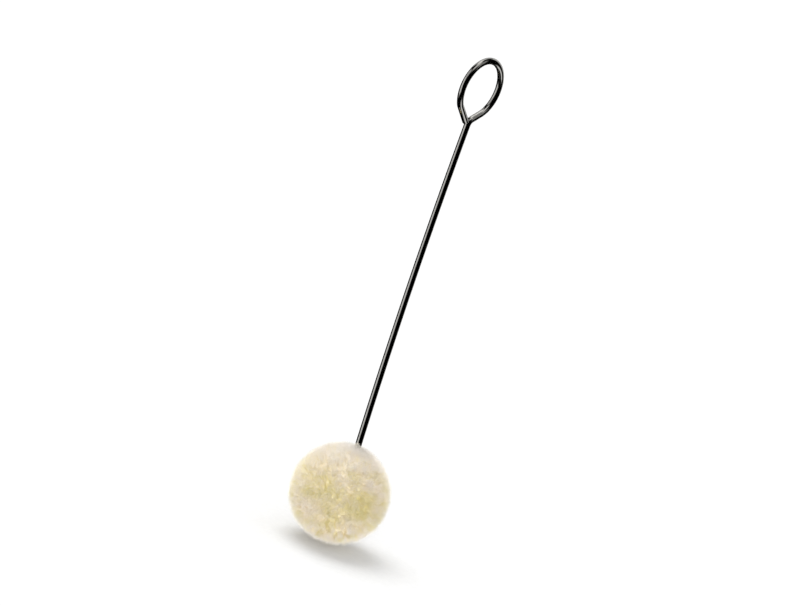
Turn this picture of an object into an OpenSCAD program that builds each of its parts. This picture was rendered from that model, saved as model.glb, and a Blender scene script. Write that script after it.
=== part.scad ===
// Wool dauber: a ball of sheepskin wool on a bent wire handle with a hanging eye.
//
// The origin is the centre of the eye. +Z runs along the handle towards the eye, the eye lies in
// the XZ plane, and the wire leaves the shank for the eye on the +X side. The handle is one wire,
// bent in that plane. Its hidden end is doubled into a clench, which grips the inner end of a
// sheepskin strip. The strip is rolled round the clench, and a staple holds its outer end.

/* [Wire] */
// Diameter of the handle wire
wire_d = 2.05; // [1.8:0.05:2.6]
// How much thinner a wire is drawn where it is bent, as a percentage of its diameter
bend_draw = 1; // [0.8:0.1:2]

/* [Eye] */
// Clear diameter inside the eye
eye_d = 16.3; // [13:0.1:22]
// Offset of the eye's centre from the shank's line, towards +X
eye_offset = 0.6; // [0:0.1:1.5]
// Climb of the wire above level, in degrees, where it leaves the neck for the eye
eye_climb = 26; // [20:1:30]
// How far round the eye the wire runs, in degrees, up to the closing bend
eye_wrap = 278; // [272:0.5:281]
// Turn of the closing bend, in degrees, which brings the cut end back to the neck
closing_turn = 12; // [10:0.5:16]
// Centreline radius of the closing bend
closing_r = 2.5; // [2:0.1:4]
// Centreline radius of the neck bend, where the shank turns off for the eye
neck_r = 2.2; // [1.6:0.1:3]
// Gap between the cut end and the neck
eye_gap = 0.15; // [0.05:0.05:1]

/* [Shank] */
// Distance from the eye's centre to the ball's centre
reach = 133.1; // [90:0.1:220]
// Slight bow of the shank, in degrees of turn from end to end
shank_bow = 5.6; // [3.4:0.1:8]

/* [Clench] */
// Straight length of the return leg
return_leg = 9; // [5:0.5:12]
// Centreline radius of the set bend, which turns the shank into line with the clench
set_r = 6; // [5:0.5:12]
// Straight wire between the top of the sheepskin roll and the set bend
set_margin = 0.5; // [0.3:0.1:2]

/* [Sheepskin] */
// Diameter of the finished wool ball
ball_d = 31.5; // [26:0.5:45]
// Thickness of the tanned hide under the wool
hide_t = 1.2; // [0.8:0.1:1.6]
// Width of the strip, which is the height of the roll
hide_h = 12; // [9:0.5:16]
// Half turns of the strip after its first turn round the shank leg
half_turns = 3; // [3:2:5]

/* [Staple] */
// Diameter of the staple wire
staple_d = 0.6; // [0.4:0.05:0.7]
// Width of the staple between the middles of its legs
staple_w = 6; // [5:0.5:8]
// Length of each leg's straight clinched tip
staple_tip = 1.4; // [0.8:0.1:1.8]
// Place of the staple round the roll, in degrees from +X
staple_at = -45; // [-50:1:-40]

/* [Fits] */
// Clearance between the hide and the wire, and between one layer of hide and the next
hide_gap = 0.05; // [0.03:0.01:0.15]
// Clearance round a staple leg in its hole
staple_gap = 0.05; // [0.03:0.01:0.1]
// Clearance between the wool and the pieces inside it
wool_gap = 0.1; // [0.05:0.05:0.3]
// Clearance between the wool and the shank that runs up through it
shank_gap = 0.25; // [0.15:0.05:0.5]

/* [Hidden] */

// Sides of a wire's section, of big rounds, and of a full circle at a bend's centreline radius,
// which grow with the radius so that the shank's long, slight bow stays smooth
wire_fn = 32;
round_fn = 96;
function bend_fn(r) = max(round_fn, ceil(1.25 * r));

// Eye: the neck bend ends on the line that meets the eye's centreline circle without a kink
eye_r = (eye_d + wire_d) / 2;
half_bow = shank_bow / 2;
neck_turn = 90 - half_bow - eye_climb;
neck_x = neck_r * cos(half_bow) - eye_offset;
neck_centre = [neck_x, (neck_x * sin(eye_climb) - neck_r - eye_r) / cos(eye_climb)];
neck_z = neck_centre[1] + neck_r * sin(half_bow);
neck_end = neck_centre + neck_r * [-sin(eye_climb), cos(eye_climb)];
eye_start = eye_r * [sin(eye_climb), -cos(eye_climb)];
lead_in = norm(eye_start - neck_end);

// The cut end stops where the wire's edge comes within eye_gap of the neck bend
closing_heading = eye_climb + eye_wrap + closing_turn;
wrap_heading = eye_climb + eye_wrap;
wrap_end = eye_r * [sin(wrap_heading), -cos(wrap_heading)];
closing_start = wrap_end + closing_r * [
    sin(closing_heading) - sin(wrap_heading),
    cos(wrap_heading) - cos(closing_heading)
];
to_neck = neck_centre - closing_start;
neck_ahead = to_neck * [cos(closing_heading), sin(closing_heading)];
neck_aside = abs(to_neck * [-sin(closing_heading), cos(closing_heading)]);
neck_reach = neck_r + wire_d / 2 + eye_gap;
closing_run = neck_ahead - sqrt(pow(neck_reach, 2) - pow(max(0, neck_aside - wire_d / 2), 2));

// Clench: two legs of the wire with one thickness of hide gripped between them
clench_r = (wire_d + hide_t) / 2 + hide_gap;
roll_foot_z = -reach - hide_h / 2;
clench_z = roll_foot_z - hide_gap;
leg_x = set_r * (1 - cos(half_bow)) - eye_offset;
roll_x = leg_x - clench_r;
set_z = roll_foot_z + hide_h + set_margin;
shank_foot_z = set_z + set_r * sin(half_bow);
bow_r = (neck_z - shank_foot_z) / (2 * sin(half_bow));

// Roll: the strip's centreline passes round the shank leg, then round both legs in half rings,
// whose centres step to and fro so that each turn lies one pitch outside the last
pitch = hide_t + hide_gap;
first_wrap_r = 2 * clench_r;
tongue_l = first_wrap_r - hide_t / 2 - 2 * hide_gap;
roll_r = first_wrap_r + pitch * (half_turns - 1) / 2 + hide_t / 2;

// Staple: its crown lies outside the roll, and its legs pass through every layer on the -Y side
// and are clinched inside them. Its bends are tight enough to clear the rims of its holes.
crown_rho = roll_r + hide_gap + staple_d / 2;
clinch_rho = first_wrap_r - hide_t / 2 - hide_gap - staple_d / 2;
staple_bend_r = staple_d / 2 + 2 * min(staple_gap, hide_gap);
staple_leg = crown_rho - clinch_rho - 2 * staple_bend_r;
staple_crown = staple_w - 2 * staple_bend_r;

// Rows for a bent wire: straight feed, centreline bend radius, turn (positive is anticlockwise
// as seen with +X to the right and +Z up)
handle_rows = [
    [return_leg, clench_r, 180],
    [set_z - clench_z, set_r, half_bow],
    [0, bow_r, -shank_bow],
    [0, neck_r, -neck_turn],
    [lead_in, eye_r, eye_wrap],
    [0, closing_r, closing_turn],
    [closing_run, 0, 0]
];
staple_rows = [
    [staple_tip, staple_bend_r, 90],
    [staple_leg, staple_bend_r, 90],
    [staple_crown, staple_bend_r, 90],
    [staple_leg, staple_bend_r, 90],
    [staple_tip, 0, 0]
];

// A round wire that starts at the origin, heading along +Z, and is fed and bent row by row. The
// full-size wire laps a little way into each bend, where it has not yet been drawn thinner.
module bent_wire(d, rows, row = 0) {
    feed = rows[row][0];
    r = rows[row][1];
    turn = rows[row][2];
    side = sign(turn);
    lap = d / 40;
    before = row > 0 ? lap : 0;
    after = r > 0 ? lap : 0;
    translate([0, 0, -before]) cylinder(h = before + feed + after, d = d, $fn = wire_fn);
    if (r > 0) {
        translate([0, 0, feed]) rotate([0, 0, side < 0 ? 180 : 0])
            wire_bend(d * (1 - bend_draw / 100), r, abs(turn));
        translate([side * r * (cos(turn) - 1), 0, feed + r * sin(abs(turn))]) rotate([0, -turn, 0])
            bent_wire(d, rows, row + 1);
    }
}

// One bend of the wire, from heading +Z towards -X
module wire_bend(d, r, turn) {
    translate([-r, 0, 0]) rotate([90, 0, 0])
        rotate_extrude(angle = turn, $fn = bend_fn(r))
            translate([r, 0]) circle(d = d, $fn = wire_fn);
}

// Half a ring of the hide, with its middle at centre_x, on the +Y side or the -Y side
module half_ring(r, centre_x, upper) {
    translate([centre_x, 0, 0]) rotate([0, 0, upper ? 0 : 180])
        rotate_extrude(angle = 180, $fn = round_fn)
            translate([r - hide_t / 2, 0]) square([hide_t, hide_h]);
}

// The whole handle: clench, shank, neck and eye in one wire
module handle_wire() {
    color("silver")
        translate([roll_x - clench_r, 0, clench_z + return_leg]) rotate([0, 180, 0])
            bent_wire(wire_d, handle_rows);
}

// Tanned sheepskin strip, rolled round the clench, with holes for the staple's legs
module hide_strip() {
    color("tan") difference() {
        translate([roll_x, 0, roll_foot_z]) {
            translate([-hide_t / 2, -tongue_l, 0]) cube([hide_t, tongue_l, hide_h]);
            half_ring(clench_r, clench_r, true);
            for (turn = [0:half_turns - 1])
                half_ring(first_wrap_r + turn * pitch / 2, turn % 2 * pitch / 2, turn % 2 == 1);
        }
        for (side = [-1, 1])
            translate([roll_x, 0, -reach + side * staple_w / 2]) rotate([0, 90, staple_at])
                translate([0, 0, clinch_rho])
                    cylinder(h = crown_rho - clinch_rho, d = staple_d + 2 * staple_gap, $fn = wire_fn);
    }
}

// Wire staple that pins the strip's outer end. Its lower tip starts inside the roll and heads down.
module staple() {
    color("gray")
        translate([roll_x, 0, -reach]) rotate([0, 0, staple_at])
            translate([clinch_rho, 0, staple_bend_r + staple_tip - staple_w / 2]) rotate([0, 180, 0])
                bent_wire(staple_d, staple_rows);
}

// The wool itself, as a plain ball round the roll, the clench and the staple
module wool_pile() {
    hollow_r = clench_r + wire_d / 2 + wool_gap;
    slot_l = crown_rho + staple_d / 2 + wool_gap;
    slot_w = staple_d + 2 * wool_gap;
    slot_h = staple_w + staple_d + 2 * wool_gap;
    color("ivory") difference() {
        translate([roll_x, 0, -reach]) sphere(d = ball_d, $fn = round_fn);
        translate([roll_x, 0, roll_foot_z - wool_gap])
            cylinder(h = hide_h + 2 * wool_gap, r = roll_r + wool_gap, $fn = round_fn);
        translate([roll_x, 0, clench_z - hollow_r])
            cylinder(h = 2 * hollow_r, r = hollow_r, $fn = round_fn);
        translate([roll_x, 0, -reach]) rotate([0, 0, staple_at])
            translate([0, -slot_w / 2, -slot_h / 2]) cube([slot_l, slot_w, slot_h]);
        translate([leg_x, 0, set_z - set_margin]) rotate([0, -half_bow, 0])
            cylinder(h = ball_d, d = wire_d + 2 * shank_gap, $fn = wire_fn);
    }
}

handle_wire();
hide_strip();
staple();
wool_pile();
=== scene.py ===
"""Looks of a wool dauber: a bright drawn-wire handle with a hanging eye, and a ball of clipped lambswool.

Everything is in metres, in the part's own frame: the eye's middle is the origin, the handle hangs
down along -Z, and the wire is bent in the XZ plane.
"""

import logging
import math
from dataclasses import dataclass, field
from enum import Enum

import bmesh
import bpy
import numpy as np
from mathutils import Matrix, Vector

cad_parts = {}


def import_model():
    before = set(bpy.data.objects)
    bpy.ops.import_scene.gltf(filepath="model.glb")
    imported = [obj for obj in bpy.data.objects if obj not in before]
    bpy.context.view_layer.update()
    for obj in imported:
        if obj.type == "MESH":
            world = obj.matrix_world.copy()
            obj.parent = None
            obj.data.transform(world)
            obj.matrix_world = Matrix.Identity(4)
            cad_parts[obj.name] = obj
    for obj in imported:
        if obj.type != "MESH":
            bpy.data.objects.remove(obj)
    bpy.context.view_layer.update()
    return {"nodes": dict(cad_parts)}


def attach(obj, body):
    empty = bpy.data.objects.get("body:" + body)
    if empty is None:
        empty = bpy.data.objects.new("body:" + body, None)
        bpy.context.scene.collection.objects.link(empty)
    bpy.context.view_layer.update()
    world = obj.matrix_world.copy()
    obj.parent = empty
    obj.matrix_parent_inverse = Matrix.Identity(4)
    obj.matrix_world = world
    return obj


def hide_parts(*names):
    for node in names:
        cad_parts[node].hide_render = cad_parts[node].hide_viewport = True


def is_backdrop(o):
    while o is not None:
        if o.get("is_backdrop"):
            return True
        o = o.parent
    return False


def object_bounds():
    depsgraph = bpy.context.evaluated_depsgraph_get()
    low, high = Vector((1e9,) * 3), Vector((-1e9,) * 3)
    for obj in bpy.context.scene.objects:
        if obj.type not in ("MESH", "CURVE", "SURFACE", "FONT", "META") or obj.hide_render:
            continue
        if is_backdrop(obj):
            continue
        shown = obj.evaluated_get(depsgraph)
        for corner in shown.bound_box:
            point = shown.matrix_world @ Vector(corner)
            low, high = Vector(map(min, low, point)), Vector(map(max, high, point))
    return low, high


LOG = logging.getLogger("wool_dauber")
MM = 0.001
BAKE_MAP = "OFBake"


class Part(Enum):
    """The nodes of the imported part."""

    HANDLE_WIRE = "handle_wire"
    HIDE_STRIP = "hide_strip"
    STAPLE = "staple"
    WOOL_PILE = "wool_pile"


class Slot(Enum):
    """The finishes named in the part's record."""

    WIRE = "bright_steel_wire"
    HIDE = "tanned_sheepskin"
    STAPLE = "staple_steel"
    WOOL = "natural_lambswool"


# ---------------------------------------------------------------- small helpers


def linear(colour: str) -> tuple[float, float, float, float]:
    """Turn an sRGB hex colour into linear light.

    Args:
        colour: Six hex digits.

    Returns:
        Red, green, blue and an alpha of one.
    """
    channels = (int(colour[i : i + 2], 16) / 255 for i in (0, 2, 4))
    red, green, blue = (c / 12.92 if c <= 0.04045 else ((c + 0.055) / 1.055) ** 2.4 for c in channels)
    return red, green, blue, 1.0


def add_node(
    tree: bpy.types.NodeTree, kind: str, settings: dict | None = None, **inputs: object
) -> bpy.types.Node:
    """Add one node, with its settings and what feeds it.

    Args:
        tree: The node tree that gets the node.
        kind: The node's type, such as "ShaderNodeMath".
        settings: Properties of the node by name. A tuple of stops fills a colour ramp.
        **inputs: For each input, by its name with spaces as underscores or by i0, i1 and so on,
            a socket that feeds it or a plain value.

    Returns:
        The new node.
    """
    node = tree.nodes.new(kind)
    for name, value in (settings or {}).items():
        if name == "stops":
            fill_ramp(node.color_ramp, value)
        else:
            setattr(node, name, value)
    for name, value in inputs.items():
        numbered = name[0] == "i" and name[1:].isdigit()
        socket = node.inputs[int(name[1:])] if numbered else node.inputs[name.replace("_", " ")]
        if isinstance(value, bpy.types.NodeSocket):
            tree.links.new(value, socket)
        else:
            socket.default_value = value
    return node


def fill_ramp(ramp: bpy.types.ColorRamp, stops: tuple[tuple[float, str], ...]) -> None:
    """Fill a colour ramp.

    Args:
        ramp: The ramp of a Color Ramp node.
        stops: Each stop's position from 0 to 1 and its sRGB hex colour.
    """
    while len(ramp.elements) < len(stops):
        ramp.elements.new(1.0)
    for element, (position, colour) in zip(ramp.elements, stops):
        element.position = position
        element.color = linear(colour)


def new_material(name: str) -> tuple[bpy.types.Material, bpy.types.NodeTree, bpy.types.Node]:
    """Start a material.

    Args:
        name: The material's name.

    Returns:
        The material, its node tree and its Principled shader.
    """
    material = bpy.data.materials.new(name)
    material.use_nodes = True
    return material, material.node_tree, material.node_tree.nodes["Principled BSDF"]


def wear(piece: bpy.types.Object, material: bpy.types.Material) -> None:
    """Put one material on a piece, in every slot that it has."""
    if not piece.material_slots:
        piece.data.materials.append(material)
    for slot in piece.material_slots:
        slot.material = material


def deselect() -> None:
    """Leave edit mode and select nothing."""
    if bpy.context.object is not None and bpy.context.object.mode != "OBJECT":
        bpy.ops.object.mode_set(mode="OBJECT")
    bpy.ops.object.select_all(action="DESELECT")


def activate(piece: bpy.types.Object) -> None:
    """Make a piece the only selected one, and the active one."""
    deselect()
    piece.select_set(True)
    bpy.context.view_layer.objects.active = piece


def settle(piece: bpy.types.Object) -> None:
    """Move a piece's place, turn and scale into its mesh."""
    activate(piece)
    bpy.ops.object.transform_apply(location=True, rotation=True, scale=True)


def direction(azimuth: float, elevation: float) -> Vector:
    """Point from the object towards a place around it.

    Args:
        azimuth: Degrees anticlockwise from -Y, seen from above.
        elevation: Degrees above the horizon.

    Returns:
        A vector of length one.
    """
    a, e = math.radians(azimuth), math.radians(elevation)
    return Vector((math.sin(a) * math.cos(e), -math.cos(a) * math.cos(e), math.sin(e)))


# ---------------------------------------------------------------- finishes


@dataclass(frozen=True)
class PlatedWireFinish:
    """Low-carbon steel wire, cold drawn and nickel plated: a bright mirror with fine die lines.

    The die's scratches run lengthwise and are drawn coarser than the real ones, so that they show.
    Handling has dulled the plating in small clouds.
    """

    metal: str = "d2d0cb"
    tarnish: str = "a8a39a"
    roughness: float = 0.09
    line_width: float = 0.11 * MM
    line_depth: float = 0.004 * MM
    line_stretch: float = 0.012
    cloud: float = 4.0 * MM

    def material(self) -> bpy.types.Material:
        """Make the material. It reads the wire's own coordinates, as if the wire lay straight."""
        material, tree, shader = new_material("nickel_plated_drawn_steel")
        straight = add_node(tree, "ShaderNodeAttribute", {"attribute_name": "straightened"})
        place = straight.outputs["Vector"]
        along = add_node(tree, "ShaderNodeVectorMath", {"operation": "MULTIPLY"}, i0=place)
        along.inputs[1].default_value = (1.0, 1.0, self.line_stretch)
        lines = add_node(
            tree,
            "ShaderNodeTexNoise",
            None,
            Vector=along.outputs[0],
            Scale=1 / self.line_width,
            Detail=2.0,
        )
        clouds = add_node(
            tree, "ShaderNodeTexNoise", None, Vector=place, Scale=1 / self.cloud, Detail=3.0
        )
        dulled = add_node(
            tree,
            "ShaderNodeMapRange",
            {"interpolation_type": "SMOOTHSTEP"},
            Value=clouds.outputs["Fac"],
            From_Min=0.52,
            From_Max=0.78,
        )
        colour = add_node(tree, "ShaderNodeMix", {"data_type": "RGBA"}, Factor=dulled.outputs["Result"])
        colour.inputs["A"].default_value = linear(self.metal)
        colour.inputs["B"].default_value = linear(self.tarnish)
        rough = add_node(
            tree,
            "ShaderNodeMapRange",
            None,
            Value=lines.outputs["Fac"],
            From_Min=0.3,
            From_Max=0.7,
            To_Min=self.roughness - 0.03,
            To_Max=self.roughness + 0.05,
        )
        bump = add_node(
            tree,
            "ShaderNodeBump",
            None,
            Height=lines.outputs["Fac"],
            Distance=self.line_depth,
            Strength=0.5,
        )
        tree.links.new(colour.outputs["Result"], shader.inputs["Base Color"])
        tree.links.new(rough.outputs["Result"], shader.inputs["Roughness"])
        tree.links.new(bump.outputs["Normal"], shader.inputs["Normal"])
        shader.inputs["Metallic"].default_value = 1.0
        return material


@dataclass(frozen=True)
class TannedHideFinish:
    """Chrome-free tanned sheepskin, flesh side: a pale suede nap over soft creases."""

    pale: str = "d9c7a3"
    deep: str = "b69b70"
    nap: float = 0.25 * MM
    crease: float = 2.2 * MM
    relief: float = 0.15 * MM

    def material(self) -> bpy.types.Material:
        """Make the material."""
        material, tree, shader = new_material("tanned_sheepskin_suede")
        place = add_node(tree, "ShaderNodeTexCoord").outputs["Object"]
        nap = add_node(tree, "ShaderNodeTexNoise", None, Vector=place, Scale=1 / self.nap)
        creases = add_node(tree, "ShaderNodeTexNoise", None, Vector=place, Scale=1 / self.crease)
        both = add_node(
            tree,
            "ShaderNodeMath",
            {"operation": "MULTIPLY_ADD"},
            i0=nap.outputs["Fac"],
            i1=0.35,
            i2=creases.outputs["Fac"],
        )
        stops = ((0.42, self.deep), (0.82, self.pale))
        colour = add_node(tree, "ShaderNodeValToRGB", {"stops": stops}, Fac=both.outputs[0])
        bump = add_node(
            tree, "ShaderNodeBump", None, Height=both.outputs[0], Distance=self.relief, Strength=0.6
        )
        tree.links.new(colour.outputs["Color"], shader.inputs["Base Color"])
        tree.links.new(bump.outputs["Normal"], shader.inputs["Normal"])
        shader.inputs["Roughness"].default_value = 0.9
        shader.inputs["Sheen Weight"].default_value = 0.25
        return material


@dataclass(frozen=True)
class GalvanisedStapleFinish:
    """Galvanised steel wire, as in a tacker's staple: soft grey zinc with a faint spangle."""

    zinc: str = "b9bcbd"
    dull: str = "8f9496"
    grain: float = 0.4 * MM

    def material(self) -> bpy.types.Material:
        """Make the material."""
        material, tree, shader = new_material("galvanised_steel_wire")
        place = add_node(tree, "ShaderNodeTexCoord").outputs["Object"]
        spangle = add_node(tree, "ShaderNodeTexVoronoi", None, Vector=place, Scale=1 / self.grain)
        stops = ((0.0, self.dull), (0.7, self.zinc))
        colour = add_node(tree, "ShaderNodeValToRGB", {"stops": stops}, Fac=spangle.outputs["Distance"])
        rough = add_node(
            tree, "ShaderNodeMapRange", None, Value=spangle.outputs["Distance"], To_Min=0.3, To_Max=0.5
        )
        tree.links.new(colour.outputs["Color"], shader.inputs["Base Color"])
        tree.links.new(rough.outputs["Result"], shader.inputs["Roughness"])
        shader.inputs["Metallic"].default_value = 1.0
        return material


@dataclass(frozen=True)
class LambswoolFinish:
    """Undyed scoured lambswool: soft matt fibres, whiter at their clipped tips, yellow with grease below;
    the change with height in the pile is also painted light and shade, paler at the lit tips and darker
    deep down.

    The colour is read from the wool's own map: across it the tone, up it the height in the pile. Light
    that passes from fibre to fibre deepens the colours, so they are paler here than the fleece looks.

    Attributes:
        tones: Stops from white through pinkish cream and yellow to olive.
        tip: Colour of the clipped tips, partly painted light.
        root_shade: What the tones are multiplied by, deep in the pile: grease yellow and painted shade.
        see_through: Share of the light that passes through a fibre, 0 for wool too dense to pass any.
        name: The material's name.
    """

    tones: tuple[tuple[float, str], ...] = (
        (0.0, "fcfaf5"),
        (0.22, "faf3ee"),
        (0.45, "f9f5e4"),
        (0.75, "f1eab8"),
        (1.0, "dfdaa2"),
    )
    tip: str = "ebe9e5"
    root_shade: str = "f8f4da"
    see_through: float = 0.75
    name: str = "undyed_lambswool"

    def material(self) -> bpy.types.Material:
        """Make the material."""
        material, tree, shader = new_material(self.name)
        fibre = add_node(tree, "ShaderNodeUVMap", {"uv_map": BAKE_MAP})
        parts = add_node(tree, "ShaderNodeSeparateXYZ", None, Vector=fibre.outputs["UV"])
        tone = add_node(tree, "ShaderNodeValToRGB", {"stops": self.tones}, Fac=parts.outputs["X"])
        # Painted shade with grease yellow deep in the pile, and painted light towards the tips, set by the
        # height in the pile.
        low = add_node(
            tree,
            "ShaderNodeMapRange",
            {"interpolation_type": "SMOOTHSTEP"},
            Value=parts.outputs["Y"],
            From_Min=0.72,
            From_Max=0.3,
            To_Max=0.85,
        )
        lower = add_node(
            tree,
            "ShaderNodeMix",
            {"data_type": "RGBA", "blend_type": "MULTIPLY"},
            Factor=low.outputs["Result"],
        )
        tree.links.new(tone.outputs["Color"], lower.inputs["A"])
        lower.inputs["B"].default_value = linear(self.root_shade)
        high = add_node(
            tree,
            "ShaderNodeMapRange",
            {"interpolation_type": "SMOOTHSTEP"},
            Value=parts.outputs["Y"],
            From_Min=0.6,
            From_Max=1.0,
            To_Max=0.92,
        )
        upper = add_node(tree, "ShaderNodeMix", {"data_type": "RGBA"}, Factor=high.outputs["Result"])
        tree.links.new(lower.outputs["Result"], upper.inputs["A"])
        upper.inputs["B"].default_value = linear(self.tip)
        tree.links.new(upper.outputs["Result"], shader.inputs["Base Color"])
        shader.inputs["Roughness"].default_value = 0.8
        shader.inputs["Specular IOR Level"].default_value = 0.25
        shader.inputs["Sheen Weight"].default_value = 0.2
        if not self.see_through:
            return material
        through = add_node(tree, "ShaderNodeBsdfTranslucent", None, Color=upper.outputs["Result"])
        both = add_node(tree, "ShaderNodeMixShader", None, Fac=self.see_through)
        tree.links.new(shader.outputs[0], both.inputs[1])
        tree.links.new(through.outputs[0], both.inputs[2])
        tree.links.new(both.outputs[0], tree.nodes["Material Output"].inputs["Surface"])
        return material


# ---------------------------------------------------------------- the handle


@dataclass(frozen=True)
class Bend:
    """One step at the wire bender: feed straight, then turn round a pin.

    Attributes:
        feed: Straight wire before the bend, in metres.
        radius: Radius of the bend at the wire's middle, in metres.
        turn: Degrees, anticlockwise with +X to the right and +Z up.
    """

    feed: float
    radius: float = 0.0
    turn: float = 0.0


@dataclass
class WireHandle:
    """The handle: one length of wire with a hanging eye at the top and a clench inside the wool.

    The sizes are the part's own. Lengths are in metres and angles in degrees.

    Attributes:
        wire_d: The wire's diameter.
        eye_d: The eye's inner diameter.
        eye_offset: How far the shank's top stands to the -X side of the eye's middle.
        eye_climb: How steeply the wire climbs where it comes on to the eye's circle.
        eye_wrap: How much of the circle it goes round.
        closing_turn: How much its end is turned in after that.
        closing_r: Radius of that turn.
        neck_r: Radius of the bend between the shank and the eye.
        eye_gap: Gap between the wire's end and the neck.
        reach: From the eye's middle down to the ball's.
        shank_bow: How much the shank bends from end to end.
        return_leg: Straight wire on the inner side of the clench.
        set_r: Radius of the small bend just above the hide strip.
        set_margin: How far above the strip that bend starts.
        hide_t: Thickness of the hide strip.
        hide_h: Width of the strip.
        hide_gap: Gap between the strip and the wire.
        sides: Sides of the wire's section.
        step: The most that one step of a bend turns.
        longest_step: The longest step of a bend.
        trace_step: Distance between points noted on the wire's middle.
        cut_bevel: Width of the bevel on the cut ends.
        crease: Angle above which an edge shows sharp.
        finish: The wire's finish.
    """

    wire_d: float = 2.05 * MM
    eye_d: float = 16.3 * MM
    eye_offset: float = 0.6 * MM
    eye_climb: float = 26.0
    eye_wrap: float = 278.0
    closing_turn: float = 12.0
    closing_r: float = 2.5 * MM
    neck_r: float = 2.2 * MM
    eye_gap: float = 0.15 * MM
    reach: float = 133.1 * MM
    shank_bow: float = 5.6
    return_leg: float = 9.0 * MM
    set_r: float = 6.0 * MM
    set_margin: float = 0.5 * MM
    hide_t: float = 1.2 * MM
    hide_h: float = 12.0 * MM
    hide_gap: float = 0.05 * MM
    sides: int = 32
    step: float = 3.0
    longest_step: float = 4.0 * MM
    trace_step: float = 0.25 * MM
    cut_bevel: float = 0.18 * MM
    crease: float = 35.0
    finish: PlatedWireFinish = field(default_factory=PlatedWireFinish)

    @property
    def clench_r(self) -> float:
        """Radius of the clench round the hide strip."""
        return (self.wire_d + self.hide_t) / 2 + self.hide_gap

    @property
    def clench_z(self) -> float:
        """Height of the clench's middle."""
        return -self.reach - self.hide_h / 2 - self.hide_gap

    @property
    def ball_x(self) -> float:
        """Where the roll and the ball have their middle, along X."""
        set_back = self.set_r * (1 - math.cos(math.radians(self.shank_bow / 2)))
        return set_back - self.eye_offset - self.clench_r

    def bends(self) -> list[Bend]:
        """Work out the feeds and bends, from the wire's inner end to its cut end at the eye.

        Returns:
            The steps in order.
        """
        half_bow = self.shank_bow / 2
        bow, climb = math.radians(half_bow), math.radians(self.eye_climb)
        eye_r = (self.eye_d + self.wire_d) / 2
        neck_x = self.neck_r * math.cos(bow) - self.eye_offset
        neck_centre = Vector((neck_x, (neck_x * math.sin(climb) - self.neck_r - eye_r) / math.cos(climb)))
        neck_z = neck_centre[1] + self.neck_r * math.sin(bow)
        neck_end = neck_centre + self.neck_r * Vector((-math.sin(climb), math.cos(climb)))
        eye_start = eye_r * Vector((math.sin(climb), -math.cos(climb)))
        set_z = -self.reach - self.hide_h / 2 + self.hide_h + self.set_margin
        shank_foot_z = set_z + self.set_r * math.sin(bow)
        bow_r = (neck_z - shank_foot_z) / (2 * math.sin(bow))
        wrapped = climb + math.radians(self.eye_wrap)
        closed = wrapped + math.radians(self.closing_turn)
        closing_end = Vector(
            (
                eye_r * math.sin(wrapped) + self.closing_r * (math.sin(closed) - math.sin(wrapped)),
                -eye_r * math.cos(wrapped) + self.closing_r * (math.cos(wrapped) - math.cos(closed)),
            )
        )
        return [
            Bend(self.return_leg, self.clench_r, 180.0),
            Bend(set_z - self.clench_z, self.set_r, half_bow),
            Bend(0.0, bow_r, -self.shank_bow),
            Bend(0.0, self.neck_r, -(90.0 - half_bow - self.eye_climb)),
            Bend((eye_start - neck_end).length, eye_r, self.eye_wrap),
            Bend(0.0, self.closing_r, self.closing_turn),
            Bend(self.closing_run(neck_centre, closing_end, closed)),
        ]

    def closing_run(self, neck_centre: Vector, start: Vector, heading: float) -> float:
        """Find how far the last straight runs before it would touch the neck.

        Args:
            neck_centre: Middle of the neck's bend, as X and Z.
            start: Where the last straight starts, as X and Z.
            heading: The way it runs, in radians anticlockwise from +X.

        Returns:
            Its length in metres.
        """
        along = Vector((math.cos(heading), math.sin(heading)))
        aside = Vector((-along.y, along.x))
        offset = neck_centre - start
        stand_off = self.neck_r + self.wire_d / 2 + self.eye_gap
        near = abs(offset.dot(aside)) - self.wire_d / 2
        return offset.dot(along) - math.sqrt(max(stand_off**2 - max(near, 0.0) ** 2, 0.0))

    def build(self) -> bpy.types.Object:
        """Sweep the wire round its bends, trim its ends and dress it.

        Returns:
            The finished wire.
        """
        spot = Vector((self.ball_x - self.clench_r, 0.0, self.clench_z + self.return_leg))
        deselect()
        bpy.ops.mesh.primitive_circle_add(
            vertices=self.sides, radius=self.wire_d / 2, fill_type="NGON", location=spot
        )
        wire = bpy.context.object
        wire.name = "drawn_wire_handle"
        wire.data.name = wire.name
        settle(wire)
        bpy.ops.object.mode_set(mode="EDIT")
        bpy.ops.mesh.select_all(action="SELECT")
        heading = -math.pi / 2
        centreline: list[tuple[Vector, float]] = [(spot.copy(), heading)]
        for bend in self.bends():
            along = Vector((math.cos(heading), 0.0, math.sin(heading)))
            if bend.feed > 0:
                bpy.ops.mesh.extrude_region_move(TRANSFORM_OT_translate={"value": bend.feed * along})
                spot = self.trace(centreline, spot, heading, Bend(bend.feed))
            if bend.turn:
                side = math.copysign(1.0, bend.turn)
                centre = spot + side * bend.radius * Vector((-math.sin(heading), 0.0, math.cos(heading)))
                length = bend.radius * math.radians(abs(bend.turn))
                by_turn, by_length = abs(bend.turn) / self.step, length / self.longest_step
                steps = max(2, math.ceil(by_turn), math.ceil(by_length))
                bpy.ops.mesh.spin(
                    steps=steps, angle=math.radians(bend.turn), center=centre, axis=(0.0, 1.0, 0.0)
                )
                spot = self.trace(centreline, spot, heading, Bend(0.0, bend.radius, bend.turn))
                heading += math.radians(bend.turn)
        self.trim_ends(wire)
        self.lay_straight(wire, centreline)
        wear(wire, self.finish.material())
        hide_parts(Part.HANDLE_WIRE.value)
        return wire

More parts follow.
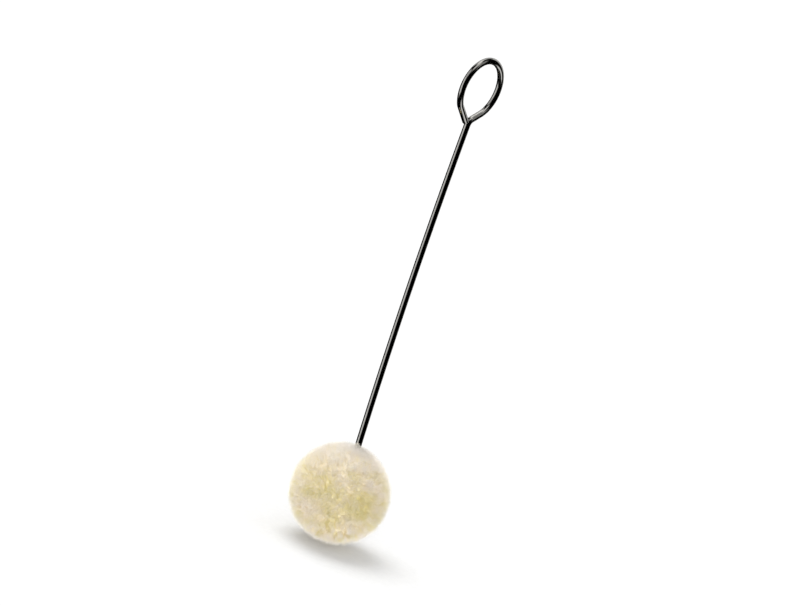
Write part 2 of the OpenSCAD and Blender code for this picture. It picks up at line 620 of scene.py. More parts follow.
    def trace(
        self, centreline: list[tuple[Vector, float]], spot: Vector, heading: float, bend: Bend
    ) -> Vector:
        """Note points on the wire's middle along one feed or one bend.

        Args:
            centreline: Points on the wire's middle with their headings, added to here.
            spot: Where the step starts.
            heading: The way it starts, in radians.
            bend: The step, with a feed or a turn.

        Returns:
            Where it ends.
        """
        turn = math.radians(bend.turn)
        length = bend.feed or bend.radius * abs(turn)
        count = max(2, math.ceil(length / self.trace_step))
        for i in range(1, count + 1):
            share = i / count
            if bend.feed:
                at = spot + share * bend.feed * Vector((math.cos(heading), 0.0, math.sin(heading)))
                centreline.append((at, heading))
                continue
            side = math.copysign(bend.radius, turn)
            now = heading + share * turn
            chord = Vector((math.sin(now) - math.sin(heading), 0.0, math.cos(heading) - math.cos(now)))
            centreline.append((spot + side * chord, now))
        return centreline[-1][0].copy()

    def trim_ends(self, wire: bpy.types.Object) -> None:
        """Bevel the rims of the two cut ends, as shears and a tumbling barrel leave them."""
        mesh = bmesh.from_edit_mesh(wire.data)
        mesh.select_mode = {"EDGE"}
        for face in mesh.faces:
            face.select_set(False)
        for face in mesh.faces:
            if len(face.verts) == self.sides:
                for edge in face.edges:
                    edge.select_set(True)
        bmesh.update_edit_mesh(wire.data)
        bpy.ops.mesh.bevel(offset=self.cut_bevel, segments=2, affect="EDGES")
        bpy.ops.mesh.select_all(action="SELECT")
        bpy.ops.mesh.normals_make_consistent(inside=False)
        bpy.ops.object.mode_set(mode="OBJECT")
        bpy.ops.object.shade_smooth_by_angle(angle=math.radians(self.crease))

    def lay_straight(self, wire: bpy.types.Object, centreline: list[tuple[Vector, float]]) -> None:
        """Give each vertex its place on the wire as if it lay straight, and the wire its own map.

        Args:
            wire: The swept wire.
            centreline: Points on the wire's middle with their headings.
        """
        mesh = wire.data
        middle = np.array([p for p, _ in centreline])
        heading = np.array([h for _, h in centreline])
        run = np.concatenate([[0.0], np.cumsum(np.linalg.norm(np.diff(middle, axis=0), axis=1))])
        place = np.empty(len(mesh.vertices) * 3)
        mesh.vertices.foreach_get("co", place)
        place = place.reshape(-1, 3)
        nearest = np.concatenate(
            [((part[:, None] - middle[None]) ** 2).sum(2).argmin(1) for part in np.array_split(place, 20)]
        )
        off = place - middle[nearest]
        along = np.stack([np.cos(heading), 0 * heading, np.sin(heading)], 1)[nearest]
        aside = np.stack([-np.sin(heading), 0 * heading, np.cos(heading)], 1)[nearest]
        straight = np.stack([(off * aside).sum(1), off[:, 1], run[nearest] + (off * along).sum(1)], 1)
        attribute = mesh.attributes.new("straightened", "FLOAT_VECTOR", "POINT")
        attribute.data.foreach_set("vector", straight.astype(np.float32).ravel())
        corner = np.empty(len(mesh.loops), np.int32)
        mesh.loops.foreach_get("vertex_index", corner)
        round_it = np.arctan2(straight[:, 1], straight[:, 0])[corner] / (2 * math.pi) + 0.5
        for face in mesh.polygons:
            span = slice(face.loop_start, face.loop_start + face.loop_total)
            if np.ptp(round_it[span]) > 0.5:
                round_it[span] += round_it[span] < 0.5
        # The wire's side fills the map but for a strip at the right, where the two cut ends lie.
        up = straight[corner, 2] / run[-1]
        ends = np.linalg.norm(straight[corner, :2], axis=1) < self.wire_d / 2 - self.cut_bevel * 0.99
        uv = np.stack([0.002 + 0.94 * round_it / (1 + 1.2 / self.sides), 0.002 + 0.996 * up], 1)
        for face in mesh.polygons:
            span = slice(face.loop_start, face.loop_start + face.loop_total)
            if ends[span].all():
                uv[span] = 0.975 + straight[corner[span], :2] / self.wire_d * 0.04
                uv[span, 1] -= 0.9 * (straight[corner[face.loop_start], 2] > run[-1] / 2)
        layer = mesh.uv_layers.new(name=BAKE_MAP)
        layer.data.foreach_set("uv", uv.clip(0.0, 1.0).astype(np.float32).ravel())


# ---------------------------------------------------------------- the hide strip and its staple


@dataclass
class StapledRoll:
    """What the wool grows from and is held by: a rolled strip of hide and the staple through it.

    Both keep the part's own meshes and are hidden in the pile. They get real finishes all the same.
    """

    hide: TannedHideFinish = field(default_factory=TannedHideFinish)
    zinc: GalvanisedStapleFinish = field(default_factory=GalvanisedStapleFinish)

    def dress(self, nodes: dict[str, bpy.types.Object]) -> list[bpy.types.Object]:
        """Give the two carried-over nodes their materials.

        Args:
            nodes: The part's nodes by name.

        Returns:
            The two nodes.
        """
        strip, staple = nodes[Part.HIDE_STRIP.value], nodes[Part.STAPLE.value]
        wear(strip, self.hide.material())
        wear(staple, self.zinc.material())
        return [strip, staple]


# ---------------------------------------------------------------- the wool


@dataclass(frozen=True)
class Patch:
    """A patch where the fleece is yellower, or paler, than the rest; one, on top, is painted light.

    Attributes:
        azimuth: Degrees anticlockwise from -Y, seen from above.
        elevation: Degrees above the ball's middle.
        spread: Its radius in degrees.
        tone: What it adds to the tone, less than 0 for paler.
    """

    azimuth: float
    elevation: float
    spread: float
    tone: float


class Pattern(Enum):
    """The smooth random patterns over the ball, each with the number that chooses it."""

    HUMPS = 11
    TUFTS = 12
    BLOTCHES = 21
    FLECKS = 22
    GRAIN = 91


PATCHES = (
    Patch(303.0, 13.0, 9.0, 0.30),
    Patch(269.0, 1.0, 8.0, 0.36),
    Patch(338.0, 6.0, 16.0, 0.34),
    Patch(298.0, -15.0, 6.5, 0.30),
    Patch(279.0, 27.0, 8.0, 0.22),
    Patch(266.0, -22.0, 16.0, -0.25),
    # Painted light: the top of the ball made paler, where the light from above falls.
    Patch(300.0, 75.0, 42.0, -0.42),
    Patch(120.0, 10.0, 14.0, 0.30),
    Patch(160.0, -20.0, 12.0, 0.25),
    Patch(60.0, 5.0, 13.0, 0.28),
    Patch(200.0, 25.0, 10.0, 0.30),
    Patch(20.0, -25.0, 12.0, 0.25),
)


@dataclass
class WoolPile:
    """The ball of wool: a dense inner mass and the clipped fibres that stand on it, gathered in locks.

    A real fibre is about 0.03 mm thick and there are some hundred thousands. These are fewer and
    thicker, so that they show. Lengths are in metres.

    Attributes:
        centre: The ball's middle.
        ball_r: The finished ball's radius.
        core_r: Radius of the dense inner wool.
        core_follow: Share of the pile's humps and partings that the core follows.
        core_grain: Depth of the core's fine grain.
        grain_length: Length of that grain.
        shade_r: Radius at which the wool has its deepest colour, of grease and painted shade.
        hump: Height of the pile's wide humps.
        hump_length: Length of those humps.
        tuft: Height of its narrower tufts.
        tuft_length: Length of those tufts.
        parting: Depth of the partings near the foot.
        parting_foot: Azimuth and elevation of the point that the partings run to, in degrees.
        parting_lines: How many partings go round, in the waves that cross to make them.
        crown: How much longer the wool is on top.
        clip_r: Radius to which the fibres are clipped.
        roll_r: Radius of the hollow for the hide roll.
        roll_h: Height of that hollow.
        wire_x: Place of the wire's bore along X.
        bore_r: Radius of that bore.
        bore_sides: Sides of the bore's and the hollow's section.
        crowding: How far fibres crowd into the bore, towards the wire.
        fibres: How many fibres stand evenly over the ball.
        collar: How many more close up the pile round the wire.
        locks: How many locks the fibres gather in.
        fibre_r: A fibre's radius at its root.
        taper: Share of that radius lost towards the tip.
        root_depth: How far below the core's surface a fibre starts.
        crimp: Least and greatest radius of a fibre's crimp.
        crimp_turns: Fewest and most turns of crimp in a fibre.
        gather: How far a tip moves to the middle of its lock, as a share of the way.
        lock_lean: How much locks lean, as a share of their length from the ball's middle.
        own_lean: How much fibres lean by themselves.
        combed_lean: Share of that lean lost where the wool is combed.
        lock_clip: How unevenly the locks are clipped.
        own_clip: How unevenly the fibres are clipped.
        stray: How far the longest fibres pass the finished ball.
        plain_tone: The fleece's usual tone.
        mottle: How much the blotches and the flecks each change it.
        blotch_length: Length of the wide blotches.
        fleck_length: Length of the small flecks.
        parting_tone: How much the partings add to the tone.
        combed_pale: How much the combed wool takes from it.
        lock_tone: How much the tone differs from lock to lock.
        own_tone: How much it differs from fibre to fibre.
        rings: Lengths in a fibre.
        bundles: How many meshes the fibres are shared among.
        stuffing: How full the padding is, from 0 to 1. Not used.
        seed: Chooses every random pattern.
        patches: Where the fleece is yellower or paler; the wide pale one on top is painted light.
        finish: The fibres' finish.
        dense: The core's finish, darker deep down as painted shade.
    """

    centre: Vector = field(default_factory=lambda: Vector((0.0, 0.0, -133.1 * MM)))
    ball_r: float = 15.75 * MM
    core_r: float = 13.6 * MM
    core_follow: float = 0.3
    core_grain: float = 0.03 * MM
    grain_length: float = 0.9 * MM
    shade_r: float = 12.5 * MM
    hump: float = 0.14 * MM
    hump_length: float = 5.0 * MM
    tuft: float = 0.1 * MM
    tuft_length: float = 2.4 * MM
    parting: float = 0.9 * MM
    parting_foot: tuple[float, float] = (358.7, -66.9)
    parting_lines: tuple[int, ...] = (23, 34, 47, 58)
    crown: float = 0.4 * MM
    clip_r: float = 15.5 * MM
    roll_r: float = 5.3 * MM
    roll_h: float = 12.3 * MM
    wire_x: float = -0.6 * MM
    bore_r: float = 1.3 * MM
    bore_sides: int = 48
    crowding: float = 0.15 * MM
    fibres: int = 60000
    collar: int = 1100
    locks: int = 1000
    fibre_r: float = 0.042 * MM
    taper: float = 0.6
    root_depth: float = 1.0 * MM
    crimp: tuple[float, float] = (0.10 * MM, 0.24 * MM)
    crimp_turns: tuple[float, float] = (1.0, 1.7)
    gather: float = 0.24
    lock_lean: float = 0.03
    own_lean: float = 0.09
    combed_lean: float = 0.85
    lock_clip: float = 0.08 * MM
    own_clip: float = 0.6 * MM
    stray: float = 0.5 * MM
    plain_tone: float = 0.45
    mottle: float = 0.07
    blotch_length: float = 7.0 * MM
    fleck_length: float = 2.8 * MM
    parting_tone: float = 0.35
    combed_pale: float = 0.12
    lock_tone: float = 0.13
    own_tone: float = 0.1
    rings: int = 4
    bundles: int = 9
    stuffing: float = 0.8
    seed: int = 7
    patches: tuple[Patch, ...] = PATCHES
    finish: LambswoolFinish = field(default_factory=LambswoolFinish)
    # Painted shade: the core's deep colour is darker still, so that the gaps between locks look shaded.
    dense: LambswoolFinish = field(
        default_factory=lambda: LambswoolFinish(
            root_shade="ebe6ca", see_through=0.0, name="dense_lambswool_painted_shade"
        )
    )

    def build(self) -> list[bpy.types.Object]:
        """Make the core and the bundles of fibres.

        Returns:
            The core first, then the bundles, which go with it.
        """
        material = self.finish.material()
        core = self.build_core()
        wear(core, self.dense.material())
        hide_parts(Part.WOOL_PILE.value)
        bundles = self.grow_fibres(material)
        for bundle in bundles:
            bundle.parent = core
        return [core, *bundles]

    def build_core(self) -> bpy.types.Object:
        """Model the dense inner wool: a lumpy ball, hollow where the roll and the wire are.

        Returns:
            The core.
        """
        deselect()
        bpy.ops.mesh.primitive_ico_sphere_add(subdivisions=6, radius=self.core_r, location=self.centre)
        core = bpy.context.object
        core.name = "wool_core"
        core.data.name = core.name
        settle(core)
        out = self.directions(core)
        grain = self.core_grain * self.waves(out, self.grain_length, Pattern.GRAIN)
        rise = self.core_follow * self.lumps(out) + grain
        place = np.array(self.centre) + out * (self.core_r + rise)[:, None]
        core.data.vertices.foreach_set("co", place.astype(np.float32).ravel())
        core.data.update()
        for radius, low, high, x in (
            (self.roll_r, -self.roll_h / 2, self.roll_h / 2, self.centre.x),
            (self.bore_r, 0.0, self.core_r * 1.3, self.wire_x),
        ):
            deselect()
            bpy.ops.mesh.primitive_cylinder_add(
                vertices=self.bore_sides,
                radius=radius,
                depth=high - low,
                location=(x, 0.0, self.centre.z + (low + high) / 2),
            )
            cutter = bpy.context.object
            settle(cutter)
            activate(core)
            hollow = core.modifiers.new("hollow", "BOOLEAN")
            hollow.operation = "DIFFERENCE"
            hollow.solver = "EXACT"
            hollow.object = cutter
            bpy.ops.object.modifier_apply(modifier=hollow.name)
            bpy.data.objects.remove(cutter)
        mesh = core.data
        mesh.polygons.foreach_set("use_smooth", [True] * len(mesh.polygons))
        layer = mesh.uv_layers.new(name=BAKE_MAP)
        corner = np.empty(len(mesh.loops), np.int32)
        mesh.loops.foreach_get("vertex_index", corner)
        out, far = self.directions(core), self.distances(core)
        rng = np.random.default_rng(self.seed + 1)
        tone = self.tones(out) + rng.normal(0, 0.05, len(out))
        height = (far - self.shade_r) / (self.ball_r - self.shade_r) + rng.normal(0, 0.06, len(out))
        # Painted shade: the core is coloured as lying deeper than it does, and so darker, so that the gaps
        # between locks look shaded.
        uv = np.stack([tone.clip(0.02, 0.98), (0.7 * height).clip(0.02, 0.9)], 1)[corner]
        layer.data.foreach_set("uv", uv.astype(np.float32).ravel())
        return core

    def offsets(self, piece: bpy.types.Object) -> np.ndarray:
        """Each vertex of a piece, from the ball's middle."""
        place = np.empty(len(piece.data.vertices) * 3)
        piece.data.vertices.foreach_get("co", place)
        return place.reshape(-1, 3) - np.array(self.centre)

    def distances(self, piece: bpy.types.Object) -> np.ndarray:
        """How far each vertex of a piece is from the ball's middle."""
        return np.linalg.norm(self.offsets(piece), axis=1)

    def directions(self, piece: bpy.types.Object) -> np.ndarray:
        """The direction of each vertex of a piece from the ball's middle."""
        return self.offsets(piece) / self.distances(piece)[:, None]

    def waves(self, out: np.ndarray, length: float, pattern: Pattern) -> np.ndarray:
        """Make a smooth random pattern over the ball from crossed waves.

        Args:
            out: Unit vectors, one a row.
            length: The waves' length on the ball's surface, in metres.
            pattern: Which pattern.

        Returns:
            The pattern at each vector, about 0 with a spread of 1.
        """
        crossed = 40
        shortest, longest = 0.75, 1.35
        rng = np.random.default_rng(self.seed * 1000 + pattern.value)
        way = rng.normal(0, 1, (crossed, 3))
        way /= np.linalg.norm(way, axis=1, keepdims=True)
        way *= (2 * math.pi * self.ball_r / length) * rng.uniform(shortest, longest, (crossed, 1))
        return np.cos(out @ way.T + rng.uniform(0, 2 * math.pi, crossed)).sum(1) * math.sqrt(2 / crossed)

    def partings(self, out: np.ndarray) -> np.ndarray:
        """How deeply the locks part, in lines that run down to the foot of the ball.

        Args:
            out: Unit vectors, one a row.

        Returns:
            0 where the wool is whole, and up to 1.2 in the deepest parting.
        """
        foot = np.array(direction(*self.parting_foot))
        side = np.cross(foot, (0.0, 0.0, 1.0))
        side /= np.linalg.norm(side)
        turn = np.arctan2(out @ side, out @ np.cross(side, foot))
        rng = np.random.default_rng(self.seed + 5)
        lines = sum(np.cos(m * turn + rng.uniform(0, 2 * math.pi)) for m in self.parting_lines) / 2
        unparted, deepest = 0.2, 1.2
        whole_at_foot = np.clip((1 - out @ foot) / 0.05, 0, 1)
        return (lines - unparted).clip(0, deepest) * self.combed(out) * whole_at_foot

    def combed(self, out: np.ndarray) -> np.ndarray:
        """Where the fibres stand straight and close instead of tangled, 1 near the foot of the ball."""
        near = out @ np.array(direction(*self.parting_foot))
        start, fade = 0.5, 0.2
        return np.clip((near - start) / fade, 0, 1)

    def lumps(self, out: np.ndarray) -> np.ndarray:
        """How far the pile stands out or falls back at each direction, in metres."""
        humps = self.hump * self.waves(out, self.hump_length, Pattern.HUMPS)
        tufts = self.tuft * self.waves(out, self.tuft_length, Pattern.TUFTS)
        crown_foot, crown_rise = 0.45, 0.4
        top = np.clip((out[:, 2] - crown_foot) / crown_rise, 0, 1)
        return humps + tufts - self.parting * self.partings(out) + self.crown * top

    def spread(self, count: int, rng: np.random.Generator) -> np.ndarray:
        """Spread directions evenly over a sphere, a little unsettled.

        Args:
            count: How many.
            rng: The source of chance.

        Returns:
            Unit vectors, one a row.
        """
        i = np.arange(count) + 0.5
        z = 1 - 2 * i / count
        turn = math.pi * (1 + math.sqrt(5)) * i
        flat = np.sqrt(1 - z * z)
        at = np.stack([flat * np.cos(turn), flat * np.sin(turn), z], 1)
        unsettled = 0.8 / math.sqrt(count)
        at += rng.normal(0, unsettled, at.shape)
        return at / np.linalg.norm(at, axis=1, keepdims=True)

    def round_wire(self, rng: np.random.Generator) -> np.ndarray:
        """Choose where the extra fibres stand that close up the pile round the wire.

        They stand between the bore's edge and three times as far out.

        Args:
            rng: The source of chance.

        Returns:
            Unit vectors, one a row.
        """
        far = np.sqrt(rng.uniform(self.bore_r**2, (3 * self.bore_r) ** 2, self.collar))
        turn = rng.uniform(0, 2 * math.pi, self.collar)
        x = far * np.cos(turn) + self.wire_x - self.centre.x
        at = np.stack([x, far * np.sin(turn), np.full(self.collar, self.core_r)], 1)
        return at / np.linalg.norm(at, axis=1, keepdims=True)

    def grow_fibres(self, material: bpy.types.Material) -> list[bpy.types.Object]:
        """Grow the fibres and sort them into bundles by where they stand.

        Args:
            material: The wool's material.

        Returns:
            The bundles.
        """
        rng = np.random.default_rng(self.seed)
        lock_at = self.spread(self.locks, rng)
        root = np.concatenate([self.spread(self.fibres, rng), self.round_wire(rng)])
        # The nearest lock's middle, found in 40 parts to save memory.
        lock = np.concatenate([(part @ lock_at.T).argmax(1) for part in np.array_split(root, 40)])
        count = len(root)
        gather = self.gather * (0.6 + 0.8 * rng.random(self.locks))[lock] * rng.uniform(0.3, 1.3, count)
        lean = rng.normal(0, self.lock_lean, (self.locks, 3))[lock]
        tangle = 1 - self.combed_lean * self.combed(root)
        lean = lean + rng.normal(0, self.own_lean, (count, 3)) * tangle[:, None]
        lock_clip = rng.normal(0, self.lock_clip, self.locks)[lock]
        clip = self.clip_r + lock_clip + self.lumps(root) + rng.normal(0, self.own_clip, count)
        clip = np.minimum(clip, self.ball_r + self.stray)
        foot = self.core_r - self.root_depth
        phase = rng.uniform(0, 1, self.locks)[lock] + rng.normal(0, 0.12, count)
        turns = rng.uniform(*self.crimp_turns, self.locks)[lock]
        crimp = rng.uniform(*self.crimp, count)
        across = np.cross(root, rng.normal(0, 1, (count, 3)))
        across /= np.linalg.norm(across, axis=1, keepdims=True)
        beside = np.cross(root, across)
        rings, depths = [], []
        for k in range(self.rings + 1):
            t = k / self.rings
            way = root + (t**1.4 * gather)[:, None] * (lock_at[lock] - root) + t * t * lean
            way /= np.linalg.norm(way, axis=1, keepdims=True)
            middle = way * (foot + (clip - foot) * t)[:, None]
            swing = 2 * math.pi * (turns * t + phase)
            middle += (crimp * min(1.0, 2 * t) * np.sin(swing))[:, None] * across
            middle += (crimp * min(1.0, 2 * t) * np.cos(swing))[:, None] * beside
            middle = self.clear_of_wire(middle)
            depths.append(np.linalg.norm(middle, axis=1))
            if k == self.rings:
                rings.append(middle[:, None])
                continue
            thick = self.fibre_r * (1 - self.taper * t)
            edges = [
                middle + thick * (math.cos(a) * across + math.sin(a) * beside)
                for a in (0, 2 * math.pi / 3, 4 * math.pi / 3)
            ]
            rings.append(np.stack(edges, 1))
        fibre = np.concatenate(rings, 1) + np.array(self.centre)
        height = (np.stack(depths, 1) - self.shade_r) / (self.ball_r - self.shade_r)
        height = np.repeat(height, [3] * self.rings + [1], axis=1).clip(0.0, 1.0)
        tone = self.tones(root) + rng.normal(0.0, self.lock_tone, self.locks)[lock]
        tone = (tone + rng.normal(0, self.own_tone, count)).clip(0.02, 0.98)
        bundle_of = (np.arctan2(root[:, 1], root[:, 0]) / (2 * math.pi) + 0.5) * self.bundles
        bundle_of = bundle_of.astype(int).clip(0, self.bundles - 1)
        return [
            self.bundle(i, fibre[bundle_of == i], tone[bundle_of == i], height[bundle_of == i], material)
            for i in range(self.bundles)
        ]

    def clear_of_wire(self, at: np.ndarray) -> np.ndarray:
        """Push points that would be in the wire out to its side, above the roll.

        Args:
            at: Points about the ball's middle.

        Returns:
            The points, moved.
        """
        axis = np.array([self.wire_x - self.centre.x, 0.0])
        off = at[:, :2] - axis
        far = np.linalg.norm(off, axis=1, keepdims=True)
        room = self.bore_r - self.crowding
        push = (at[:, 2:] > 0) & (far < room)
        moved = np.where(push, axis + off / np.maximum(far, 1e-9) * room, at[:, :2])
        return np.concatenate([moved, at[:, 2:]], 1)

    def tones(self, out: np.ndarray) -> np.ndarray:
        """Choose the wool's tone, from white at 0 through cream and yellow to olive at 1.

        Args:
            out: Directions from the ball's middle.

        Returns:
            The tone at each.
        """
        blotches = self.waves(out, self.blotch_length, Pattern.BLOTCHES)
        flecks = self.waves(out, self.fleck_length, Pattern.FLECKS)
        tone = self.plain_tone + self.mottle * blotches + self.mottle * flecks
        tone += self.parting_tone * self.partings(out) - self.combed_pale * self.combed(out)
        for patch in self.patches:
            near = out @ np.array(direction(patch.azimuth, patch.elevation))
            away = np.degrees(np.arccos(near.clip(-1, 1))) / patch.spread
            tone += patch.tone * np.exp(-(away**2))
        return tone

    def bundle(
        self,
        number: int,
        fibre: np.ndarray,
        tone: np.ndarray,
        height: np.ndarray,
        material: bpy.types.Material,
    ) -> bpy.types.Object:
        """Make one mesh of closed, tapering three-sided fibres.

        Args:
            number: The bundle's number.
            fibre: For each fibre, its rings of three points and its tip.
            tone: Each fibre's tone.
            height: For each fibre, how high in the pile each of its points is, from 0 to 1.
            material: The wool's material.

        Returns:
            The bundle.
        """
        count, points = fibre.shape[:2]
        faces = [(0, 2, 1)]
        for k in range(self.rings - 1):
            a = 3 * k
            for s in range(3):
                n = (s + 1) % 3
                faces.append((a + s, a + n, a + 3 + n, a + 3 + s))
        a = 3 * (self.rings - 1)
        faces += [(a + s, a + (s + 1) % 3, points - 1) for s in range(3)]
        corners = np.concatenate([np.array(f) for f in faces])
        totals = np.array([len(f) for f in faces])
        mesh = bpy.data.meshes.new(f"wool_fibres_{number + 1}")
        mesh.vertices.add(count * points)
        mesh.vertices.foreach_set("co", fibre.astype(np.float32).ravel())
        mesh.loops.add(count * len(corners))
        mesh.loops.foreach_set("vertex_index", (np.arange(count)[:, None] * points + corners).ravel())
        mesh.polygons.add(count * len(faces))
        starts = np.concatenate([[0], np.cumsum(totals)[:-1]])
        mesh.polygons.foreach_set(
            "loop_start", (np.arange(count)[:, None] * len(corners) + starts).astype(np.int32).ravel()
        )
        mesh.polygons.foreach_set("use_smooth", np.ones(count * len(faces), bool))
        mesh.update(calc_edges=True)
        side = np.concatenate(
            [[0.0, 1.0, 0.5]]
            + [[s, s + 1, s + 1, s] for _ in range(self.rings - 1) for s in range(3)]
            + [[s, s + 1, s + 0.5] for s in range(3)]
        )
        # The root's cap and each side cover a little of the map of their own, so that they can be baked.
        rise = height[:, corners]
        rise[:, 1] += 0.01
        u = tone[:, None] + 0.003 * (side - 1.5)[None]
        uv = np.stack([u, 0.01 + 0.98 * rise], 2)
        layer = mesh.uv_layers.new(name=BAKE_MAP)
        layer.data.foreach_set("uv", uv.astype(np.float32).ravel())
        mesh.materials.append(material)
        piece = bpy.data.objects.new(mesh.name, mesh)
        bpy.context.scene.collection.objects.link(piece)
        return piece


# ---------------------------------------------------------------- the studio


@dataclass(frozen=True)
class Card:
    """A softbox that only the bright metal mirrors.

    Attributes:
        across: Degrees to the camera's right, from straight back at the camera.
        above: Degrees above that, by the camera's own up.
        half_width: Half its width, in degrees.
        half_height: Half its height, in degrees.
        level: How bright it is. White paper in this light is 1.
    """

    across: float
    above: float
    half_width: float
    half_height: float
    level: float


@dataclass
class Studio:
    """A plain pale floor, soft light from above and around, and the camera.

    Attributes:
        floor_z: Height of the floor, in metres.
        azimuth: Degrees anticlockwise from -Y to the camera, seen from above.
        elevation: Degrees from the horizon up to the camera.
        roll: Degrees that the camera is turned anticlockwise, seen from behind it.
        lens_mm: Focal length.
        sensor_mm: Width of the sensor.
        view_width: Width of what the camera frames, in metres.
        aim_right: How far to its own right of the eye's middle the camera aims, in metres.
        aim_up: How far above the eye's middle it aims, by its own up, in metres.
        key_strength: Strength of the overhead bank.
        fill_strength: Strength of the bank by the camera.
        bank_width: How wide both banks look from the object, in degrees.
        dome: Brightness of the room on matt surfaces.
        backdrop: Brightness of the room to the camera.
        sheet_width: Width of the floor, in metres.
        sheet: The floor's colour.
        sheet_pale: The paler colour in the floor's fine cloud.
        sheet_grain: Size of that cloud, in metres.
        backlight: The floor's own light, to the camera.
        bounce: The floor's own light on the object.
        card_fade: Width of half a card's soft edge, in degrees.
        cards: What the metal mirrors.
    """

    floor_z: float
    azimuth: float = 303.95
    elevation: float = 13.8
    roll: float = 18.65
    lens_mm: float = 600.0
    sensor_mm: float = 36.0
    view_width: float = 240.07 * MM
    aim_right: float = -25.06 * MM
    aim_up: float = -64.44 * MM
    key_strength: float = 3.5
    fill_strength: float = 1.9
    bank_width: float = 45.0
    dome: float = 1.4
    backdrop: float = 1.1
    sheet_width: float = 30.0
    sheet: str = "9c9c9c"
    sheet_pale: str = "a0a0a0"
    sheet_grain: float = 1.5 * MM
    backlight: float = 0.17
    bounce: float = 1.4
    card_fade: float = 5.0
    cards: tuple[Card, ...] = (
        Card(-63.0, 8.0, 23.0, 30.0, 0.68),
        Card(-62.0, 50.0, 36.0, 13.0, 0.45),
        Card(40.0, 48.0, 22.0, 14.0, 0.75),
        Card(78.0, 15.0, 14.0, 18.0, 0.28),
        Card(148.0, 8.0, 22.0, 26.0, 0.6),
        Card(105.0, -68.0, 26.0, 12.0, 0.8),
        Card(90.0, 78.0, 15.0, 11.0, 1.3),
        Card(175.0, 55.0, 24.0, 20.0, 0.6),
    )

    def axes(self) -> tuple[Vector, Vector, Vector]:
        """The camera's right, up and backward directions."""
        back = direction(self.azimuth, self.elevation)
        right = Vector((math.cos(math.radians(self.azimuth)), math.sin(math.radians(self.azimuth)), 0.0))
        up = back.cross(right)
        lean = math.radians(self.roll)
        return (
            right * math.cos(lean) + up * math.sin(lean),
            up * math.cos(lean) - right * math.sin(lean),
            back,
        )

    def build(self) -> None:
        """Set up the floor, the light and the camera."""
        self.lay_floor()
        self.hang_lights()
        self.light_room()
        self.place_camera()
        bpy.context.scene.view_settings.view_transform = "Standard"

    def lay_floor(self) -> None:
        """Lay a wide opal acrylic sheet under the ball, lit from beneath, which fills the shadow."""
        deselect()
        bpy.ops.mesh.primitive_plane_add(size=self.sheet_width, location=(0.0, 0.0, self.floor_z))
        floor = bpy.context.object
        floor.name = "light_table"
        settle(floor)
        material, tree, shader = new_material("opal_acrylic_sheet")
        place = add_node(tree, "ShaderNodeTexCoord").outputs["Object"]
        grain = add_node(tree, "ShaderNodeTexNoise", None, Vector=place, Scale=1 / self.sheet_grain)
        stops = ((0.3, self.sheet), (0.7, self.sheet_pale))
        colour = add_node(tree, "ShaderNodeValToRGB", {"stops": stops}, Fac=grain.outputs["Fac"])
        rays = add_node(tree, "ShaderNodeLightPath")
        glow = add_node(
            tree,
            "ShaderNodeMapRange",
            None,
            Value=rays.outputs["Is Camera Ray"],
            To_Min=self.bounce,
            To_Max=self.backlight,
        )
        tree.links.new(colour.outputs["Color"], shader.inputs["Base Color"])
        tree.links.new(glow.outputs["Result"], shader.inputs["Emission Strength"])
        shader.inputs["Emission Color"].default_value = (1.0, 1.0, 1.0, 1.0)
        shader.inputs["Roughness"].default_value = 1.0
        shader.inputs["Specular IOR Level"].default_value = 0.0
        wear(floor, material)
        floor.visible_glossy = False
        floor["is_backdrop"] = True

    def hang_lights(self) -> None:
        """Hang a broad, far overhead bank, which gives the soft shadow, and a weaker one by the camera."""
        _, up, back = self.axes()
        for name, out, strength in (
            ("overhead_bank", up, self.key_strength),
            ("front_bank", back, self.fill_strength),
        ):
            deselect()
            bpy.ops.object.light_add(type="SUN", location=0.5 * out)
            light = bpy.context.object
            light.name = name
            light.data.energy = strength
            light.data.angle = math.radians(self.bank_width)
            light.rotation_euler = out.to_track_quat("Z", "Y").to_euler()
            light.visible_glossy = False
            light.visible_camera = False

    def light_room(self) -> None:
        """Light the room: white to the camera, even and soft on matt surfaces, cards on metal."""
        world = bpy.data.worlds.new("studio")
        bpy.context.scene.world = world
        world.use_nodes = True
        world.cycles.sampling_method = "NONE"
        tree = world.node_tree
        tree.nodes.clear()
        place = add_node(tree, "ShaderNodeTexCoord").outputs["Generated"]
        seen = None
        for card in self.cards:
            light = self.add_card(tree, place, card)
            if seen is None:
                seen = light
                continue
            brighter = add_node(tree, "ShaderNodeMath", {"operation": "MAXIMUM"}, i0=seen, i1=light)
            seen = brighter.outputs[0]
        rays = add_node(tree, "ShaderNodeLightPath")
        mirrored = add_node(tree, "ShaderNodeBackground", None, Color=seen)
        even = add_node(tree, "ShaderNodeBackground", None, Strength=self.dome)
        even.inputs["Color"].default_value = (1.0, 1.0, 1.0, 1.0)
        white = add_node(tree, "ShaderNodeBackground", None, Strength=self.backdrop)
        white.inputs["Color"].default_value = (1.0, 1.0, 1.0, 1.0)
        matt = add_node(tree, "ShaderNodeMixShader", None, Fac=rays.outputs["Is Glossy Ray"])
        tree.links.new(even.outputs[0], matt.inputs[1])
        tree.links.new(mirrored.outputs[0], matt.inputs[2])
        shown = add_node(tree, "ShaderNodeMixShader", None, Fac=rays.outputs["Is Camera Ray"])
        tree.links.new(matt.outputs[0], shown.inputs[1])
        tree.links.new(white.outputs[0], shown.inputs[2])
        out = add_node(tree, "ShaderNodeOutputWorld")
        tree.links.new(shown.outputs[0], out.inputs["Surface"])

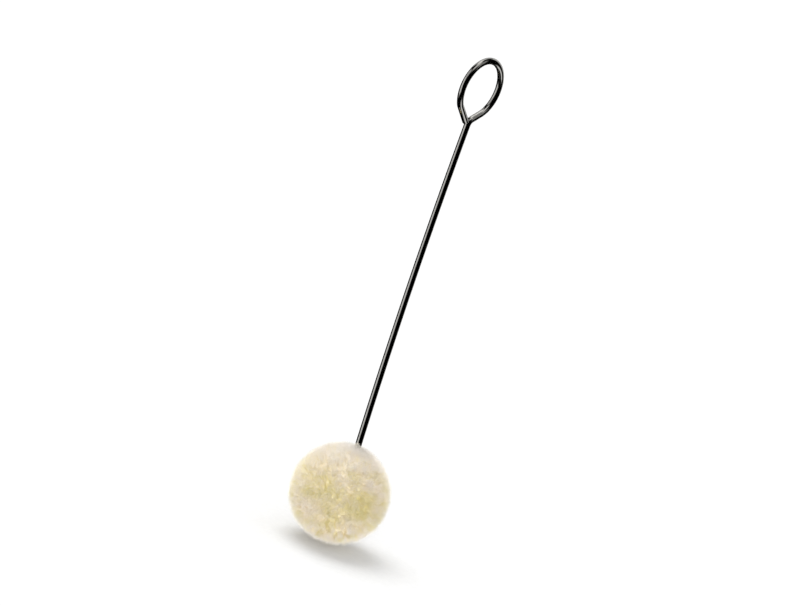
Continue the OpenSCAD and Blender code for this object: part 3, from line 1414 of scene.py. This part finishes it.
    def add_card(
        self, tree: bpy.types.NodeTree, place: bpy.types.NodeSocket, card: Card
    ) -> bpy.types.NodeSocket:
        """Add one card to the room's light.

        Args:
            tree: The world's node tree.
            place: The direction being looked at.
            card: The card.

        Returns:
            A socket with its level where it is seen, and zero elsewhere.
        """
        right, up, back = self.axes()
        across, above = math.radians(card.across), math.radians(card.above)
        out = (back * math.cos(across) + right * math.sin(across)) * math.cos(above) + up * math.sin(above)
        side = up.cross(out).normalized()
        light = card.level
        for axis, half in ((side, card.half_width), (out.cross(side), card.half_height)):
            dot = add_node(tree, "ShaderNodeVectorMath", {"operation": "DOT_PRODUCT"}, i0=place, i1=axis)
            off = add_node(tree, "ShaderNodeMath", {"operation": "ABSOLUTE"}, i0=dot.outputs["Value"])
            edge = add_node(
                tree,
                "ShaderNodeMapRange",
                {"interpolation_type": "SMOOTHSTEP"},
                Value=off.outputs[0],
                From_Min=math.sin(math.radians(half + self.card_fade)),
                From_Max=math.sin(math.radians(half - self.card_fade)),
            )
            light = add_node(
                tree, "ShaderNodeMath", {"operation": "MULTIPLY"}, i0=edge.outputs["Result"], i1=light
            ).outputs[0]
        front = add_node(tree, "ShaderNodeVectorMath", {"operation": "DOT_PRODUCT"}, i0=place, i1=out)
        ahead = add_node(
            tree, "ShaderNodeMath", {"operation": "GREATER_THAN"}, i0=front.outputs["Value"], i1=0.0
        )
        return add_node(
            tree, "ShaderNodeMath", {"operation": "MULTIPLY"}, i0=ahead.outputs[0], i1=light
        ).outputs[0]

    def place_camera(self) -> None:
        """Set up a long lens far away, so that the object is seen almost without perspective."""
        right, up, back = self.axes()
        away = self.view_width * self.lens_mm / self.sensor_mm
        spot = self.aim_right * right + self.aim_up * up + away * back
        deselect()
        bpy.ops.object.camera_add(location=spot)
        camera = bpy.context.object
        camera.name = "camera"
        camera.matrix_world = Matrix.Translation(spot) @ Matrix((right, up, back)).transposed().to_4x4()
        camera.data.lens = self.lens_mm
        camera.data.sensor_width = self.sensor_mm
        camera.data.clip_start = 0.05
        camera.data.clip_end = 20.0
        camera.data.dof.use_dof = False
        bpy.context.scene.camera = camera


# ---------------------------------------------------------------- all together


def main() -> None:
    """Load the part, build and dress each piece, log their face counts, and light it."""
    logging.basicConfig(level=logging.INFO, format="%(name)s: %(message)s")
    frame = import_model()
    handle = WireHandle()
    wire = handle.build()
    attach(wire, "root")
    LOG.info("%s: %d faces", wire.name, len(wire.data.polygons))
    for piece in StapledRoll().dress(frame["nodes"]):
        LOG.info("%s: %d faces, kept from the part", piece.name, len(piece.data.polygons))
    wool = WoolPile(centre=Vector((handle.ball_x, 0.0, -handle.reach)))
    pieces = wool.build()
    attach(pieces[0], "root")
    for piece in pieces:
        LOG.info("%s: %d faces", piece.name, len(piece.data.polygons))
    looks_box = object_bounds()
    Studio(floor_z=looks_box[0].z).build()


if __name__ == "__main__":
    main()
